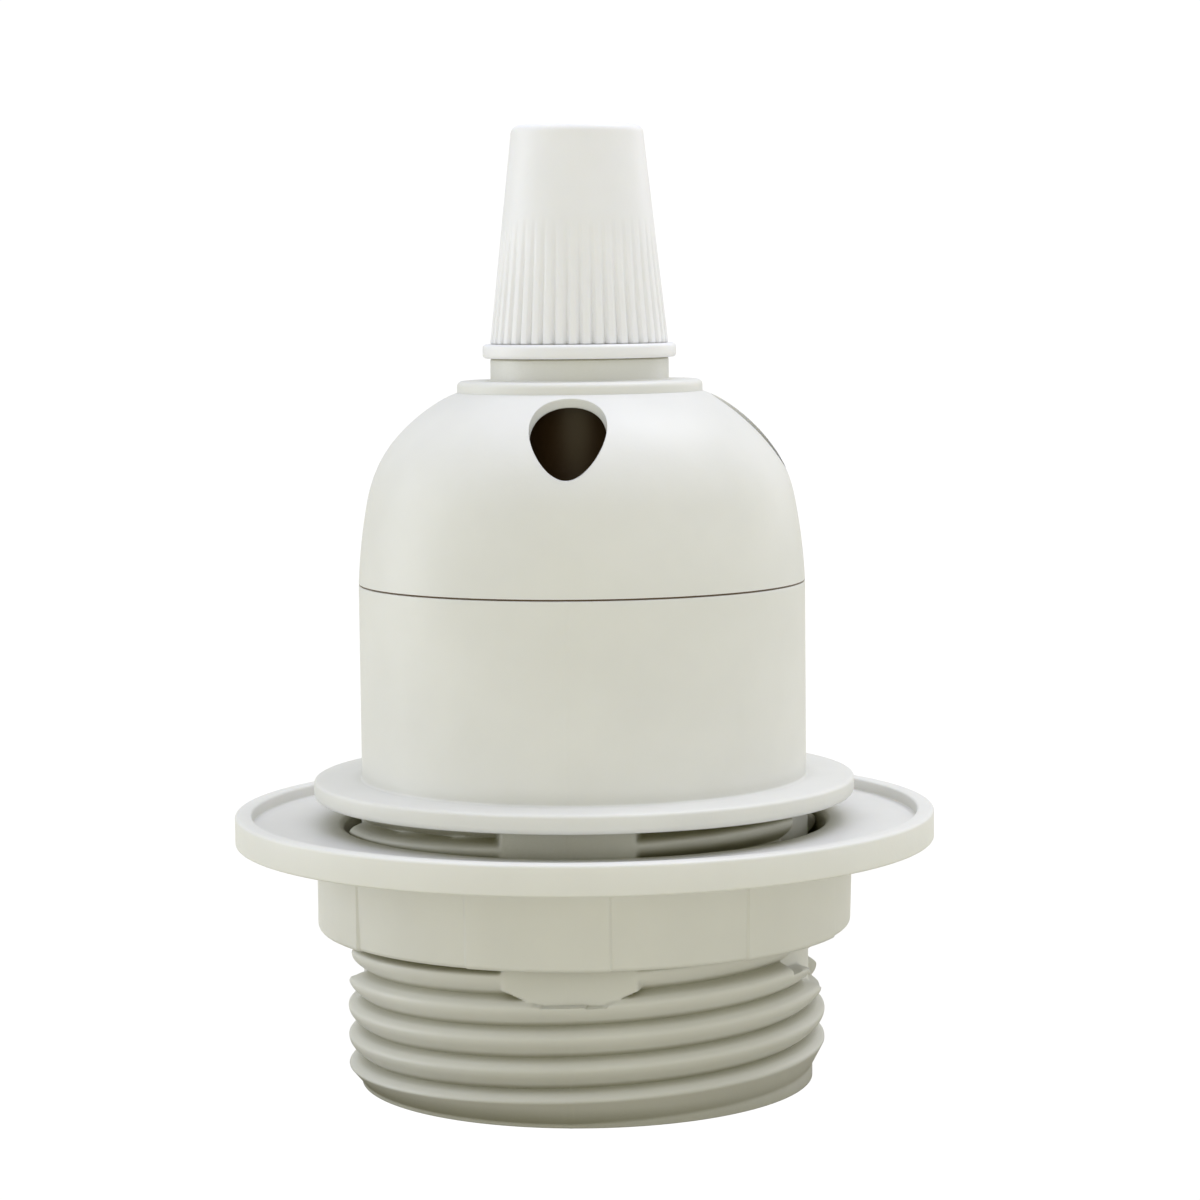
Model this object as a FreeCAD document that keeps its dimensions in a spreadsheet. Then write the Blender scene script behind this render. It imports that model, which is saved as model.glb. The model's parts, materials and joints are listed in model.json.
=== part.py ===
import FreeCAD, Part
import os
import re
import Sketcher
from FreeCAD import Placement, Rotation, Vector

# Pendant lampholder with an E27 screw shell, a shade ring and a cord grip.
# Millimetres, Z up, origin on the lamp's axis at the bottom of the skirt, front towards -Y.

# Driving dimensions, one cell each in the sheet named Sizes.
SIZES = {
    # outer shell: barrel, flange and external thread
    "shell_radius": 18.52,
    "shell_wall": 1.57,
    "shell_height": 41.6,
    "shell_rim_chamfer": 0.25,
    "skirt_radius": 18.92,
    "skirt_band": 1.7,
    "skirt_bevel": 0.25,
    "mouth_radius": 14.4,
    "mouth_lip": 1.8,
    "flange_radius": 22.5,
    "flange_base": 23.85,
    "flange_thickness": 1.6,
    "flange_bevel": 0.3,
    "thread_root": 18.6,
    "thread_crest": 19.95,
    "thread_pitch": 2.5,
    "thread_base_width": 2.3,
    "thread_crest_width": 1.0,
    "thread_start_height": 1.317,
    "thread_start_turn": 140,
    "thread_bury": 0.5,
    "flat_distance": 19.3,
    "flat_half_width": 5.3,
    "flat_foot_half_width": 2.75,
    "flat_foot_height": 9.85,
    "flat_shoulder_height": 11.0,
    "seat_height": 28.5,
    "seat_rib_count": 6,
    "seat_rib_width": 1.6,
    "seat_rib_depth": 1.6,
    "key_width": 2.4,
    "key_height": 2.0,
    # shade ring
    "ring_radius": 29.1,
    "ring_base": 20.22,
    "ring_rim_height": 2.47,
    "ring_floor_thickness": 1.48,
    "ring_lip_width": 1.4,
    "ring_rim_bevel": 0.2,
    "hub_radius": 22.36,
    "hub_base": 13.05,
    "hub_bevel": 0.4,
    "hub_facet_count": 6,
    "hub_facet_depth": 0.22,
    "hub_facet_turn": 8.9,
    "ring_thread_clearance": 0.15,
    "ring_lead_in": 0.5,
    # dome with collar, neck and spigot
    "dome_draft": 2.56,
    "dome_flank_radius": 47.5,
    "dome_shoulder_radius": 11.7,
    "dome_shoulder_rise": 4.73,
    "dome_wall": 1.3,
    "dome_crown_lift": 0.7,
    "spigot_clearance": 0.3,
    "spigot_wall": 1.45,
    "spigot_gap": 0.3,
    "spigot_root_height": 1.45,
    "collar_radius": 10.15,
    "collar_rise": 16.7,
    "collar_bevel": 0.35,
    "neck_radius": 7.37,
    "neck_length": 1.84,
    "neck_boss_depth": 10.9,
    "stem_thread_radius": 4.95,
    "stem_thread_clearance": 0.05,
    "vent_radius": 3.08,
    "vent_offset": 13.9,
    "vent_floor_rise": 7.6,
    # cord grip
    "grip_foot_radius": 8.0,
    "grip_foot_thickness": 1.16,
    "grip_foot_bevel": 0.25,
    "cord_bore_radius": 3.4,
    "stem_spigot_length": 6.94,
    "stem_tube_length": 9.7,
    "stem_mouth_bevel": 0.9,
    "cap_base_radius": 7.36,
    "cap_top_radius": 5.47,
    "cap_height": 17.9,
    "cap_round": 0.75,
    "cap_mouth_bevel": 0.5,
    "cap_thread_radius": 5.0,
    "cap_thread_depth": 10.8,
    "cap_thread_clearance": 0.08,
    "cap_mouth_length": 2.6,
    "rib_count": 42,
    "rib_depth": 0.34,
    "rib_height": 10.3,
    "rib_groove_width": 0.8,
    "bush_gap": 0.3,
    "bush_length": 4.2,
    "bush_bore_radius": 2.9,
    "bush_slit": 0.8,
    # insulator block
    "block_clearance": 0.35,
    "block_flange_thickness": 2.5,
    "block_height": 5.5,
    "block_collar_depth": 4.0,
    "block_collar_wall": 1.1,
    "barrier_thickness": 1.6,
    "barrier_height": 5.0,
    "barrier_length": 16.4,
    # screw shell for an E27 cap
    "screw_shell_radius": 13.3,
    "screw_shell_sheet": 0.35,
    "screw_shell_base": 3.2,
    "shell_neck_radius": 12.6,
    "shell_neck_length": 4.1,
    "tab_width": 5.0,
    "tab_thickness": 0.5,
    "tab_reach": 4.4,
    # rivets
    "rivet_radius": 1.25,
    "rivet_head_radius": 1.9,
    "rivet_head_thickness": 0.6,
    "tab_rivet_offset": 10.4,
    # centre contact
    "contact_pivot": 5.6,
    "contact_sheet": 0.5,
    "contact_width": 5.0,
    "contact_pad_reach": 2.0,
    "contact_tip_length": 2.0,
    "contact_curl": 1.2,
    "contact_clearance": 0.4,
    "contact_drop": 1.9,
    # terminals
    "terminal_thickness": 1.4,
    "terminal_width": 7.0,
    "terminal_length": 9.2,
    "terminal_inner_end": 3.3,
    "terminal_corner": 0.8,
    "live_screw_offset": 10.1,
    "neutral_screw_offset": 5.9,
    "screw_thread_radius": 1.5,
    "screw_clearance": 0.05,
    "screw_pocket_radius": 2.0,
    "screw_pocket_spare": 0.4,
    "screw_length": 6.0,
    "screw_head_radius": 2.3,
    "screw_head_bevel": 0.3,
    "screw_head_height": 2.1,
    "screw_slot_width": 0.8,
    "screw_slot_depth": 1.0,
    "clamp_plate_size": 4.8,
    "clamp_plate_span": 6.4,
    "clamp_plate_thickness": 0.8,
    "clamp_ear_height": 0.6,
    "clamp_ear_thickness": 0.6,
}

# Values worked out from the driving dimensions.
DERIVED = {
    "bore_radius": "shell_radius - shell_wall",
    "wall_middle": "bore_radius + shell_wall / 2",
    "rib_inner_radius": "bore_radius - seat_rib_depth",
    "flange_top": "flange_base + flange_thickness",
    "flange_middle": "flange_base + flange_thickness / 2",
    "thread_length": "flange_middle - thread_start_height",
    "ring_bore": "thread_crest + ring_thread_clearance",
    "ring_top": "ring_base + ring_rim_height",
    "ring_floor": "ring_base + ring_floor_thickness",
    "lead_in_middle": "ring_bore + ring_lead_in - ring_lead_in * cos(45)",
    "facet_inner": "hub_radius - hub_facet_depth",
    "facet_outer": "hub_radius + hub_bevel",
    "facet_end": "hub_facet_turn + 180 / hub_facet_count",
    "shoulder_centre_z": "shell_height + dome_shoulder_rise",
    "collar_top": "shell_height + collar_rise",
    "neck_top": "collar_top + neck_length",
    "vent_floor": "shell_height + vent_floor_rise",
    "flank_centre_x": "shell_radius - dome_flank_radius * cos(dome_draft)",
    "flank_centre_z": "shell_height - dome_flank_radius * sin(dome_draft)",
    "arc_gap": "dome_flank_radius - dome_shoulder_radius",
    "arc_rise": "(shoulder_centre_z - flank_centre_z) / arc_gap",
    "arc_run": "sqrt(1 - arc_rise * arc_rise)",
    "shoulder_centre_x": "flank_centre_x + arc_gap * arc_run",
    "join_x": "flank_centre_x + dome_flank_radius * arc_run",
    "join_z": "flank_centre_z + dome_flank_radius * arc_rise",
    "collar_inset": "collar_radius - shoulder_centre_x",
    "collar_base": "shoulder_centre_z + sqrt(dome_shoulder_radius ^ 2 - collar_inset ^ 2)",
    "spigot_radius": "bore_radius - spigot_clearance",
    "spigot_bore": "spigot_radius - spigot_wall",
    "spigot_base": "block_flange_top + spigot_gap",
    "spigot_root": "shell_height + spigot_root_height",
    "inner_shoulder": "dome_shoulder_radius - dome_wall",
    "inner_centre_z": "shoulder_centre_z + dome_crown_lift",
    "inner_flank_x": "shoulder_centre_x + inner_shoulder",
    "inner_flank_z": "spigot_root + inner_flank_x - spigot_bore",
    "neck_bore": "stem_thread_radius + stem_thread_clearance",
    "boss_inset": "neck_radius - shoulder_centre_x",
    "boss_root": "inner_centre_z + sqrt(inner_shoulder ^ 2 - boss_inset ^ 2)",
    "boss_base": "neck_top - neck_boss_depth",
    "foot_top": "neck_top + grip_foot_thickness",
    "stem_base": "neck_top - stem_spigot_length",
    "stem_top": "foot_top + stem_tube_length",
    "cap_top": "foot_top + cap_height",
    "cap_cone_top": "cap_top - cap_mouth_length",
    "bush_top": "stem_top + bush_length",
    "cap_bore": "cap_thread_radius + cap_thread_clearance",
    "cap_thread_top": "foot_top + cap_thread_depth",
    "cap_shoulder": "cap_top - cap_round",
    "cap_slope": "(cap_base_radius - cap_top_radius) / (cap_shoulder - foot_top)",
    "rib_top_radius": "cap_base_radius - cap_slope * rib_height",
    "cone_slope": "(cap_bore - cord_bore_radius) / (cap_cone_top - cap_thread_top)",
    "bush_radius": "cap_bore - bush_gap",
    "bush_top_radius": "bush_radius - cone_slope * (bush_top - cap_thread_top)",
    "block_flange_radius": "bore_radius - block_clearance",
    "block_flange_top": "seat_height + block_flange_thickness",
    "block_top": "seat_height + block_height",
    "block_collar_base": "seat_height - block_collar_depth",
    "block_top_radius": "spigot_bore - block_clearance",
    "collar_outer": "rib_inner_radius - block_clearance",
    "collar_inner": "collar_outer - block_collar_wall",
    "screw_shell_outer": "screw_shell_radius + screw_shell_sheet",
    "shell_neck_base": "seat_height - shell_neck_length",
    "shell_neck_top": "shell_neck_base + screw_shell_radius - shell_neck_radius",
    "shell_neck_outer": "shell_neck_radius + screw_shell_sheet",
    "tab_base": "seat_height - tab_thickness",
    "tab_inner": "screw_shell_outer - tab_reach",
    "rivet_hole": "rivet_radius + screw_clearance",
    "terminal_top": "block_top + terminal_thickness",
    "terminal_end": "terminal_inner_end + terminal_length",
    "plate_top": "terminal_top + clamp_plate_thickness",
    "screw_hole": "screw_thread_radius + screw_clearance",
    "screw_tip": "plate_top - screw_length",
    "screw_pocket_depth": "block_top - screw_tip + screw_pocket_spare",
    "screw_head_top": "plate_top + screw_head_height",
    "contact_top": "seat_height - contact_clearance",
    "contact_base": "contact_top - contact_sheet",
    "contact_tip": "contact_base - contact_drop",
    "contact_bend": "contact_pivot - contact_pad_reach",
}

doc = FreeCAD.newDocument("Lampholder")
sheet = doc.addObject("Spreadsheet::Sheet", "Sizes")
for row, (name, value) in enumerate(SIZES.items(), start=1):
    sheet.set("A%d" % row, name)
    sheet.set("B%d" % row, str(value))
    sheet.setAlias("B%d" % row, name)
doc.recompute()


def spelled(text):
    """Spells a size out as an expression on the cells of the sheet."""
    def spell(found):
        word = found.group(0)
        if word in DERIVED:
            return "(" + spelled(DERIVED[word]) + ")"
        if word in SIZES:
            return "Sizes." + word
        return word
    return re.sub(r"[a-z_]+", spell, text)


def new_body(name):
    body = doc.addObject("PartDesign::Body", name)
    body.Label = name
    return body


def origin_feature(body, role):
    return next(part for part in body.Origin.OriginFeatures if part.Role == role)


def amount(sketch, text):
    """The present value of a size, for the first guess of a sketch."""
    found = sketch.evalExpression(spelled(text))
    return float(getattr(found, "Value", found))


def new_sketch(body, name, role, height=None):
    """A sketch on one of the body's own planes, raised along the plane's normal by height."""
    sketch = body.newObject("Sketcher::SketchObject", name)
    sketch.AttachmentSupport = (origin_feature(body, role), "")
    sketch.MapMode = "FlatFace"
    if height is not None:
        sketch.setExpression("AttachmentOffset.Base.z", spelled(height))
    return sketch


def hold(sketch, kind, *places):
    """Adds a dimension whose last place is a size, and binds it to that size."""
    *ends, text = places
    number = sketch.addConstraint(Sketcher.Constraint(kind, *ends, amount(sketch, text)))
    sketch.setExpression("Constraints[%d]" % number, spelled(text))


def hold_point(sketch, geometry, end, x=None, y=None):
    """
    Holds a point at a place. A place of 0 lies on the sketch's own axis: -2 is its upright one,
    -1 its level one, and point 1 of that is its origin.
    """
    if x == "0":
        sketch.addConstraint(Sketcher.Constraint("PointOnObject", geometry, end, -2))
    elif x is not None:
        hold(sketch, "DistanceX", -1, 1, geometry, end, x)
    if y == "0":
        sketch.addConstraint(Sketcher.Constraint("PointOnObject", geometry, end, -1))
    elif y is not None:
        hold(sketch, "DistanceY", -1, 1, geometry, end, y)


def draw_loop(sketch, corners):
    """
    Draws a closed outline. A corner is (x, y), reached by a straight line, or (x, y, cx, cy),
    reached by an arc about (cx, cy). Each place is a size or an expression of sizes. Point 1
    of a line or arc is its start, 2 its end and 3 its centre.
    """
    places = [Vector(amount(sketch, c[0]), amount(sketch, c[1]), 0) for c in corners]
    starts, ends = [], []
    for k, corner in enumerate(corners):
        before, here = places[k - 1], places[k]
        if len(corner) == 2:
            geometry = sketch.addGeometry(Part.LineSegment(before, here), False)
            starts.append((geometry, 1))
            ends.append((geometry, 2))
            continue
        centre = Vector(amount(sketch, corner[2]), amount(sketch, corner[3]), 0)
        turning = (before - centre).cross(here - centre).z > 0
        first, last = (before, here) if turning else (here, before)
        circle = Part.Circle(centre, Vector(0, 0, 1), (here - centre).Length)
        arc = Part.ArcOfCircle(circle, circle.parameter(first), circle.parameter(last))
        geometry = sketch.addGeometry(arc, False)
        starts.append((geometry, 1 if turning else 2))
        ends.append((geometry, 2 if turning else 1))
    for k, corner in enumerate(corners):
        following = starts[(k + 1) % len(corners)]
        sketch.addConstraint(Sketcher.Constraint("Coincident", *ends[k], *following))
        hold_point(sketch, *ends[k], corner[0], corner[1])
    for k, corner in enumerate(corners):
        if len(corner) == 4:
            chord = places[k] - places[k - 1]
            if abs(chord.y) > abs(chord.x):
                hold_point(sketch, ends[k][0], 3, y=corner[3])
            else:
                hold_point(sketch, ends[k][0], 3, x=corner[2])


def draw_circle(sketch, x, y, radius):
    centre = Vector(amount(sketch, x), amount(sketch, y), 0)
    circle = Part.Circle(centre, Vector(0, 0, 1), amount(sketch, radius))
    geometry = sketch.addGeometry(circle, False)
    hold(sketch, "Radius", geometry, radius)
    hold_point(sketch, geometry, 3, x, y)


def draw_box(sketch, left, bottom, right, top):
    draw_loop(sketch, [(left, bottom), (right, bottom), (right, top), (left, top)])


def revolve(body, name, corners):
    """Turns an outline in the plane of X and Z about the body's upright axis."""
    sketch = new_sketch(body, name + "_outline", "XZ_Plane")
    draw_loop(sketch, corners)
    solid = body.newObject("PartDesign::Revolution", name)
    solid.Profile = sketch
    solid.ReferenceAxis = (sketch, ["V_Axis"])
    solid.Angle = 360
    doc.recompute()
    return solid


def extrude(body, kind, name, sketch, length, reverse=False, middle=False):
    """A pad or a pocket of the sketch, bound to its length, which has to change the body."""
    before = 0 if body.Shape.isNull() else body.Shape.Volume
    solid = body.newObject("PartDesign::" + kind, name)
    solid.Profile = sketch
    solid.Reversed = reverse
    solid.Midplane = middle
    solid.setExpression("Length", spelled(length))
    doc.recompute()
    if (body.Shape.Volume > before) != (kind == "Pad"):
        raise RuntimeError("%s in %s points the wrong way" % (name, body.Label))
    return solid


def repeat_round(body, name, features, count, angle=360):
    pattern = body.newObject("PartDesign::PolarPattern", name)
    pattern.Originals = features
    pattern.Axis = (origin_feature(body, "Z_Axis"), [""])
    pattern.Angle = angle
    pattern.setExpression("Occurrences", spelled(count))
    body.Tip = pattern
    doc.recompute()
    return pattern


def place(body, x, y="0"):
    """Moves a piece that was drawn on its own upright axis to its place in the block."""
    body.setExpression("Placement.Base.x", spelled(x))
    body.setExpression("Placement.Base.y", spelled(y))
    return body


FLAT_OUTLINE = [
    ("-flat_half_width", "flat_shoulder_height"),
    ("-flat_foot_half_width", "flat_foot_height"),
    ("flat_foot_half_width", "flat_foot_height"),
    ("flat_half_width", "flat_shoulder_height"),
]


def barrel():
    """The outer shell before its thread: skirt, flange, seat ribs, key and the four flats."""
    body = new_body("barrel")
    revolve(body, "Barrel", [
        ("mouth_radius", "0"),
        ("skirt_radius - skirt_bevel", "0"),
        ("skirt_radius", "skirt_bevel"),
        ("skirt_radius", "skirt_band"),
        ("thread_root", "skirt_band + skirt_radius - thread_root"),
        ("thread_root", "flange_base"),
        ("flange_radius - flange_bevel", "flange_base"),
        ("flange_radius", "flange_base + flange_bevel"),
        ("flange_radius", "flange_top - flange_bevel"),
        ("flange_radius - flange_bevel", "flange_top"),
        ("shell_radius", "flange_top"),
        ("shell_radius", "shell_height - shell_rim_chamfer"),
        ("shell_radius - shell_rim_chamfer", "shell_height"),
        ("bore_radius", "shell_height"),
        ("bore_radius", "mouth_lip"),
        ("mouth_radius", "mouth_lip"),
    ])

    sketch = new_sketch(body, "Rib_outline", "XY_Plane", "mouth_lip / 2")
    draw_box(sketch, "-seat_rib_width / 2", "rib_inner_radius", "seat_rib_width / 2", "wall_middle")
    rib = extrude(body, "Pad", "Rib", sketch, "seat_height - mouth_lip / 2")
    repeat_round(body, "Ribs", [rib], "seat_rib_count")

    sketch = new_sketch(body, "Key_outline", "XY_Plane", "seat_height - key_height")
    draw_box(sketch, "-key_width / 2", "rib_inner_radius", "key_width / 2", "wall_middle")
    extrude(body, "Pad", "Key", sketch, "2 * key_height")

    sketch = new_sketch(body, "Flat_outline", "XZ_Plane", "flat_distance")
    draw_loop(sketch, [("-flat_half_width", "flange_middle")] + FLAT_OUTLINE
              + [("flat_half_width", "flange_middle")])
    flat = extrude(body, "Pad", "Flat", sketch, "flat_distance - wall_middle", reverse=True)
    repeat_round(body, "Flats", [flat], "4")
    return body


def thread_ridge():
    """The raised helical ridge of the external thread, right-handed, one ridge to each pitch."""
    helix = doc.addObject("Part::Helix", "Thread_helix")
    helix.setExpression("Pitch", spelled("thread_pitch"))
    helix.setExpression("Height", spelled("thread_length"))
    helix.setExpression("Radius", spelled("thread_root"))
    helix.SegmentLength = 1
    helix.setExpression("Placement.Base.z", spelled("thread_start_height"))
    helix.setExpression("Placement.Rotation.Angle", spelled("thread_start_turn"))

    sketch = doc.addObject("Sketcher::SketchObject", "Thread_outline")
    draw_loop(sketch, [
        ("thread_root - thread_bury", "-thread_base_width / 2"),
        ("thread_crest", "-thread_crest_width / 2"),
        ("thread_crest", "thread_crest_width / 2"),
        ("thread_root - thread_bury", "thread_base_width / 2"),
    ])
    upright = Rotation(Vector(1, 0, 0), 90)
    turned = Rotation(Vector(0, 0, 1), SIZES["thread_start_turn"])
    sketch.Placement = Placement(Vector(0, 0, 0), turned * upright)
    sketch.setExpression("Placement.Base.z", spelled("thread_start_height"))
    doc.recompute()

    ridge = doc.addObject("Part::Sweep", "Thread_ridge")
    ridge.Sections = [sketch]
    ridge.Spine = (helix, [])
    ridge.Solid = True
    ridge.Frenet = True
    doc.recompute()
    return ridge


def flat_cutters():
    """Blocks that take the thread's crests off down to the four flats."""
    body = new_body("flat_cutters")
    sketch = new_sketch(body, "Cutter_outline", "XZ_Plane", "flat_distance")
    draw_loop(sketch, [("-flat_half_width", "flange_base")] + FLAT_OUTLINE
              + [("flat_half_width", "flange_base")])
    block = extrude(body, "Pad", "Cutter", sketch, "thread_crest - thread_root")
    repeat_round(body, "Cutters", [block], "4")
    return body


def outer_shell():
    """The barrel with its thread, cut back to the flats."""
    threaded = doc.addObject("Part::Fuse", "Threaded_barrel")
    threaded.Base = barrel()
    threaded.Tool = thread_ridge()
    doc.recompute()
    shell = doc.addObject("Part::Cut", "outer_shell")
    shell.Label = "outer_shell"
    shell.Base = threaded
    shell.Tool = flat_cutters()
    doc.recompute()
    return shell


def shade_ring():
    """Hub with shallow grip facets, and a tray-like rim with a raised lip."""
    body = new_body("shade_ring")
    revolve(body, "Ring", [
        ("ring_bore", "hub_base"),
        ("hub_radius - hub_bevel", "hub_base"),
        ("hub_radius", "hub_base + hub_bevel"),
        ("hub_radius", "ring_base"),
        ("ring_radius - ring_rim_bevel", "ring_base"),
        ("ring_radius", "ring_base + ring_rim_bevel"),
        ("ring_radius", "ring_top - ring_rim_bevel"),
        ("ring_radius - ring_rim_bevel", "ring_top"),
        ("ring_radius - ring_lip_width", "ring_top"),
        ("ring_radius - ring_lip_width", "ring_floor"),
        ("ring_bore + ring_lead_in", "ring_floor"),
        ("lead_in_middle", "ring_floor - ring_lead_in + ring_lead_in * sin(45)"),
        ("ring_bore", "ring_floor - ring_lead_in"),
    ])
    sketch = new_sketch(body, "Facet_outline", "XY_Plane", "hub_base")
    draw_loop(sketch, [
        ("facet_inner * cos(hub_facet_turn)", "facet_inner * sin(hub_facet_turn)", "0", "0"),
        ("facet_outer * cos(hub_facet_turn)", "facet_outer * sin(hub_facet_turn)"),
        ("facet_outer * cos(facet_end)", "facet_outer * sin(facet_end)", "0", "0"),
        ("facet_inner * cos(facet_end)", "facet_inner * sin(facet_end)"),
    ])
    facet = extrude(body, "Pocket", "Facet", sketch, "ring_base - hub_base", reverse=True)
    repeat_round(body, "Facets", [facet], "hub_facet_count")
    return body


def dome():
    """Domed cap with four upright vent holes, a collar, a threaded neck and a spigot below."""
    body = new_body("dome")
    revolve(body, "Dome", [
        ("spigot_bore", "spigot_base"),
        ("spigot_radius", "spigot_base"),
        ("spigot_radius", "shell_height"),
        ("shell_radius", "shell_height"),
        ("join_x", "join_z", "flank_centre_x", "flank_centre_z"),
        ("collar_radius", "collar_base", "shoulder_centre_x", "shoulder_centre_z"),
        ("collar_radius", "collar_top - collar_bevel"),
        ("collar_radius - collar_bevel", "collar_top"),
        ("neck_radius", "collar_top"),
        ("neck_radius", "neck_top"),
        ("neck_bore", "neck_top"),
        ("neck_bore", "boss_base"),
        ("neck_radius", "boss_base"),
        ("neck_radius", "boss_root"),
        ("shoulder_centre_x + inner_shoulder * cos(60)", "inner_centre_z + inner_shoulder * sin(60)"),
        ("shoulder_centre_x + inner_shoulder * cos(30)", "inner_centre_z + inner_shoulder * sin(30)"),
        ("inner_flank_x", "inner_centre_z"),
        ("inner_flank_x", "inner_flank_z"),
        ("spigot_bore", "spigot_root"),
    ])
    sketch = new_sketch(body, "Vent_outline", "XY_Plane", "collar_top")
    draw_circle(sketch, "0", "-vent_offset", "vent_radius")
    vent = extrude(body, "Pocket", "Vent", sketch, "collar_top - vent_floor")
    repeat_round(body, "Vents", [vent], "4")
    return body


def grip_stem():
    """Foot disc with a spigot below, screwed into the dome's neck, and a threaded tube above."""
    body = new_body("grip_stem")
    revolve(body, "Stem", [
        ("cord_bore_radius", "stem_base"),
        ("stem_thread_radius", "stem_base"),
        ("stem_thread_radius", "neck_top"),
        ("grip_foot_radius - grip_foot_bevel", "neck_top"),
        ("grip_foot_radius", "neck_top + grip_foot_bevel"),
        ("grip_foot_radius", "foot_top"),
        ("cap_thread_radius", "foot_top"),
        ("cap_thread_radius", "stem_top"),
        ("cord_bore_radius + stem_mouth_bevel", "stem_top"),
        ("cord_bore_radius", "stem_top - stem_mouth_bevel"),
    ])
    return body


def clamp_bush():
    """Split bush with a conical outside, which the cap squeezes on the cord."""
    body = new_body("clamp_bush")
    revolve(body, "Bush", [
        ("bush_bore_radius", "stem_top"),
        ("bush_radius", "stem_top"),
        ("bush_radius", "cap_thread_top"),
        ("bush_top_radius", "bush_top"),
        ("bush_bore_radius", "bush_top"),
    ])
    sketch = new_sketch(body, "Slit_outline", "XY_Plane", "stem_top")
    draw_box(sketch, "0", "-bush_slit / 2", "cap_bore", "bush_slit / 2")
    extrude(body, "Pocket", "Slit", sketch, "bush_top - stem_top", reverse=True)
    return body


def grip_cap():
    """Tapered cap with fine upright ribs that run out on its cone, threaded inside."""
    body = new_body("grip_cap")
    revolve(body, "Cap", [
        ("cap_bore", "foot_top"),
        ("cap_base_radius", "foot_top"),
        ("cap_top_radius", "cap_shoulder"),
        ("cap_top_radius - cap_round + cap_round * cos(45)", "cap_shoulder + cap_round * sin(45)"),
        ("cap_top_radius - cap_round", "cap_top"),
        ("cord_bore_radius + cap_mouth_bevel", "cap_top"),
        ("cord_bore_radius", "cap_top - cap_mouth_bevel"),
        ("cord_bore_radius", "cap_cone_top"),
        ("cap_bore", "cap_thread_top"),
    ])
    lower = new_sketch(body, "Groove_foot", "XY_Plane", "foot_top")
    draw_loop(lower, [
        ("0", "-(cap_base_radius - rib_depth)"),
        ("-rib_groove_width", "-(cap_base_radius + rib_depth)"),
        ("rib_groove_width", "-(cap_base_radius + rib_depth)"),
    ])
    upper = new_sketch(body, "Groove_end", "XY_Plane", "foot_top + rib_height")
    draw_loop(upper, [
        ("0", "-rib_top_radius"),
        ("-rib_groove_width", "-(rib_top_radius + 2 * rib_depth)"),
        ("rib_groove_width", "-(rib_top_radius + 2 * rib_depth)"),
    ])
    groove = body.newObject("PartDesign::SubtractiveLoft", "Groove")
    groove.Profile = lower
    groove.Sections = [upper]
    groove.Ruled = True
    doc.recompute()
    repeat_round(body, "Grooves", [groove], "rib_count")
    return body


def insulator_block():
    """Stepped insulating block with a collar round the screw shell and a wall between terminals."""
    body = new_body("insulator_block")
    revolve(body, "Block", [
        ("collar_inner", "block_collar_base"),
        ("collar_outer", "block_collar_base"),
        ("collar_outer", "seat_height"),
        ("block_flange_radius", "seat_height"),
        ("block_flange_radius", "block_flange_top"),
        ("block_top_radius", "block_flange_top"),
        ("block_top_radius", "block_top"),
        ("0", "block_top"),
        ("0", "seat_height"),
        ("collar_inner", "seat_height"),
    ])
    sketch = new_sketch(body, "Barrier_outline", "XY_Plane", "block_top")
    draw_box(sketch, "-barrier_thickness / 2", "-barrier_length / 2",
             "barrier_thickness / 2", "barrier_length / 2")
    extrude(body, "Pad", "Barrier", sketch, "barrier_height")

    sketch = new_sketch(body, "Notch_outline", "XY_Plane", "seat_height")
    draw_box(sketch, "-(key_width / 2 + block_clearance)", "rib_inner_radius - block_clearance / 2",
             "key_width / 2 + block_clearance", "wall_middle")
    extrude(body, "Pocket", "Notch", sketch, "block_flange_thickness", reverse=True)

    sketch = new_sketch(body, "Screw_pockets_outline", "XY_Plane", "block_top")
    draw_circle(sketch, "live_screw_offset", "0", "screw_pocket_radius")
    draw_circle(sketch, "-neutral_screw_offset", "0", "screw_pocket_radius")
    extrude(body, "Pocket", "Screw_pockets", sketch, "screw_pocket_depth")

    sketch = new_sketch(body, "Rivet_holes_outline", "XY_Plane", "block_top")
    draw_circle(sketch, "contact_pivot", "0", "rivet_hole")
    draw_circle(sketch, "-tab_rivet_offset", "0", "rivet_hole")
    draw_circle(sketch, "0", "tab_rivet_offset", "rivet_hole")
    draw_circle(sketch, "0", "-tab_rivet_offset", "rivet_hole")
    extrude(body, "Pocket", "Rivet_holes", sketch, "block_top - seat_height")
    return body


def screw_shell():
    """Brass tube for a lamp's cap, necked in at the top, with three tabs turned in for rivets."""
    body = new_body("screw_shell")
    revolve(body, "Tube", [
        ("screw_shell_radius", "screw_shell_base"),
        ("screw_shell_outer", "screw_shell_base"),
        ("screw_shell_outer", "shell_neck_base"),
        ("shell_neck_outer", "shell_neck_top"),
        ("shell_neck_outer", "seat_height"),
        ("shell_neck_radius", "seat_height"),
        ("shell_neck_radius", "shell_neck_top"),
        ("screw_shell_radius", "shell_neck_base"),
    ])
    sketch = new_sketch(body, "Tab_outline", "XY_Plane", "tab_base")
    draw_box(sketch, "-tab_width / 2", "tab_inner", "tab_width / 2", "shell_neck_radius")
    tab = extrude(body, "Pad", "Tab", sketch, "tab_thickness")
    sketch = new_sketch(body, "Tab_hole_outline", "XY_Plane", "seat_height")
    draw_circle(sketch, "0", "tab_rivet_offset", "rivet_hole")
    hole = extrude(body, "Pocket", "Tab_hole", sketch, "tab_thickness")
    repeat_round(body, "Tabs", [tab, hole], "3", angle=180)
    return body


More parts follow.
